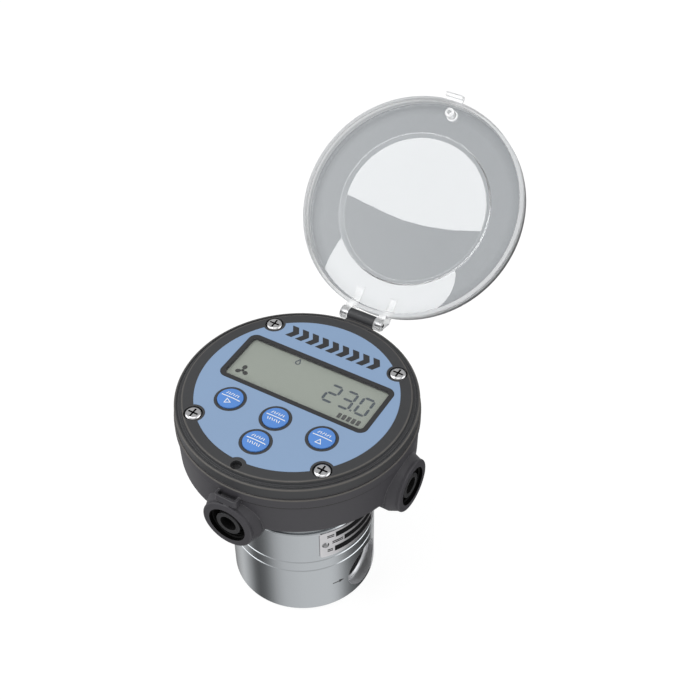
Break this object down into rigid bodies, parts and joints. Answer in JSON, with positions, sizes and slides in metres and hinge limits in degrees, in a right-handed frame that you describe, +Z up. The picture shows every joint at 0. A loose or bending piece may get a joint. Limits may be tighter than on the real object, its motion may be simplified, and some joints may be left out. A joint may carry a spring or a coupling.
{
  "type": "oval gear flow meter",
  "caption": "Oval gear flow meter: turned steel meter with two side pipe ports, round plastic display head with keys and plugged conduit entries, and a clear hinged lid.",
  "frame": {"origin": "centre of the flat base of the turned meter", "axes": "+Z up along the meter's axis, +X out of the inlet port, +Y towards the lid's hinge at the back"},
  "size_m": [0.1177, 0.2151, 0.1936],
  "materials": {
    "steel": "turned and fine, satin",
    "plate_steel": "thin etched sheet, satin",
    "screw_steel": "plain",
    "bright_screws": "bright plated",
    "gear_steel": "ground",
    "carbon": "matt carbon",
    "magnet": "plated",
    "seal_rubber": "matt",
    "dark_plastic": "fine matt grain",
    "bezel_plastic": "fine matt grain",
    "plug_plastic": "fine matt grain",
    "overlay": "printed film, satin",
    "window": "clear, flat",
    "lcd_glass": "grey-green, satin",
    "board_plastic": "moulded",
    "board": "solder mask",
    "battery": "printed sleeve",
    "lid_clear": "clear, smoky",
    "key_blue": "soft silicone, satin"
  },
  "bodies": {
    "meter": {"meter_body": "steel", "rotor_plate": "steel", "meter_cap": "steel", "neck_adapter": "steel", "nameplate": "plate_steel", "nameplate_rivets": "plate_steel", "cap_screws": "screw_steel", "dowel_pins": "screw_steel", "rotor_shaft_a": "screw_steel", "rotor_shaft_b": "screw_steel", "sensor_screw": "screw_steel", "adapter_screws": "screw_steel", "bowl_screws": "screw_steel", "board_screws": "screw_steel", "bezel_screws": "bright_screws", "hinge_pin": "bright_screws", "chamber_seal_lower": "seal_rubber", "chamber_seal_upper": "seal_rubber", "neck_gasket": "seal_rubber", "head_seal": "seal_rubber", "housing_bowl": "dark_plastic", "bezel": "bezel_plastic", "conduit_plug_front": "plug_plastic", "conduit_plug_right": "plug_plastic", "face_overlay": "overlay", "lcd_window": "window", "lcd_panel": "lcd_glass", "lcd_holder": "board_plastic", "display_board": "board", "sensor_board": "board", "key_switches": "board_plastic", "battery_holder": "board_plastic", "battery_cell": "battery", "terminal_block": "board_plastic"},
    "lid": {"lid": "lid_clear"},
    "gear_a": {"oval_gear_a": "gear_steel", "rotor_bush_a": "carbon", "rotor_magnets": "magnet"},
    "gear_b": {"oval_gear_b": "gear_steel", "rotor_bush_b": "carbon"},
    "key_left": {"key_left": "key_blue"},
    "key_right": {"key_right": "key_blue"},
    "key_upper": {"key_upper": "key_blue"},
    "key_lower": {"key_lower": "key_blue"}
  },
  "joints": [
    {"name": "lid_hinge", "type": "hinge", "parent": "meter", "child": "lid", "pos_m": [0, 0.06, 0.117], "axis": [1, 0, 0], "range_deg": [0, 140.9]},
    {"name": "key_left_press", "type": "slide", "parent": "meter", "child": "key_left", "axis": [0, 0, -1], "range_m": [0, 0.0008], "stiffness_N_per_m": 1000, "springref_m": -0.0005},
    {"name": "key_right_press", "type": "slide", "parent": "meter", "child": "key_right", "axis": [0, 0, -1], "range_m": [0, 0.0008], "stiffness_N_per_m": 1000, "springref_m": -0.0005},
    {"name": "key_upper_press", "type": "slide", "parent": "meter", "child": "key_upper", "axis": [0, 0, -1], "range_m": [0, 0.0008], "stiffness_N_per_m": 1000, "springref_m": -0.0005},
    {"name": "key_lower_press", "type": "slide", "parent": "meter", "child": "key_lower", "axis": [0, 0, -1], "range_m": [0, 0.0008], "stiffness_N_per_m": 1000, "springref_m": -0.0005},
    {"name": "gear_a_spin", "type": "hinge", "parent": "meter", "child": "gear_a", "pos_m": [0, 0.01, 0.03485], "axis": [0, 0, 1], "range_deg": [-8, 8]},
    {"name": "gear_b_spin", "type": "hinge", "parent": "meter", "child": "gear_b", "pos_m": [0, -0.01, 0.03485], "axis": [0, 0, 1], "range_deg": [-8, 8]}
  ],
  "couplings": [
    {"joint": "gear_b_spin", "follows": "gear_a_spin", "ratio": -1}
  ]
}
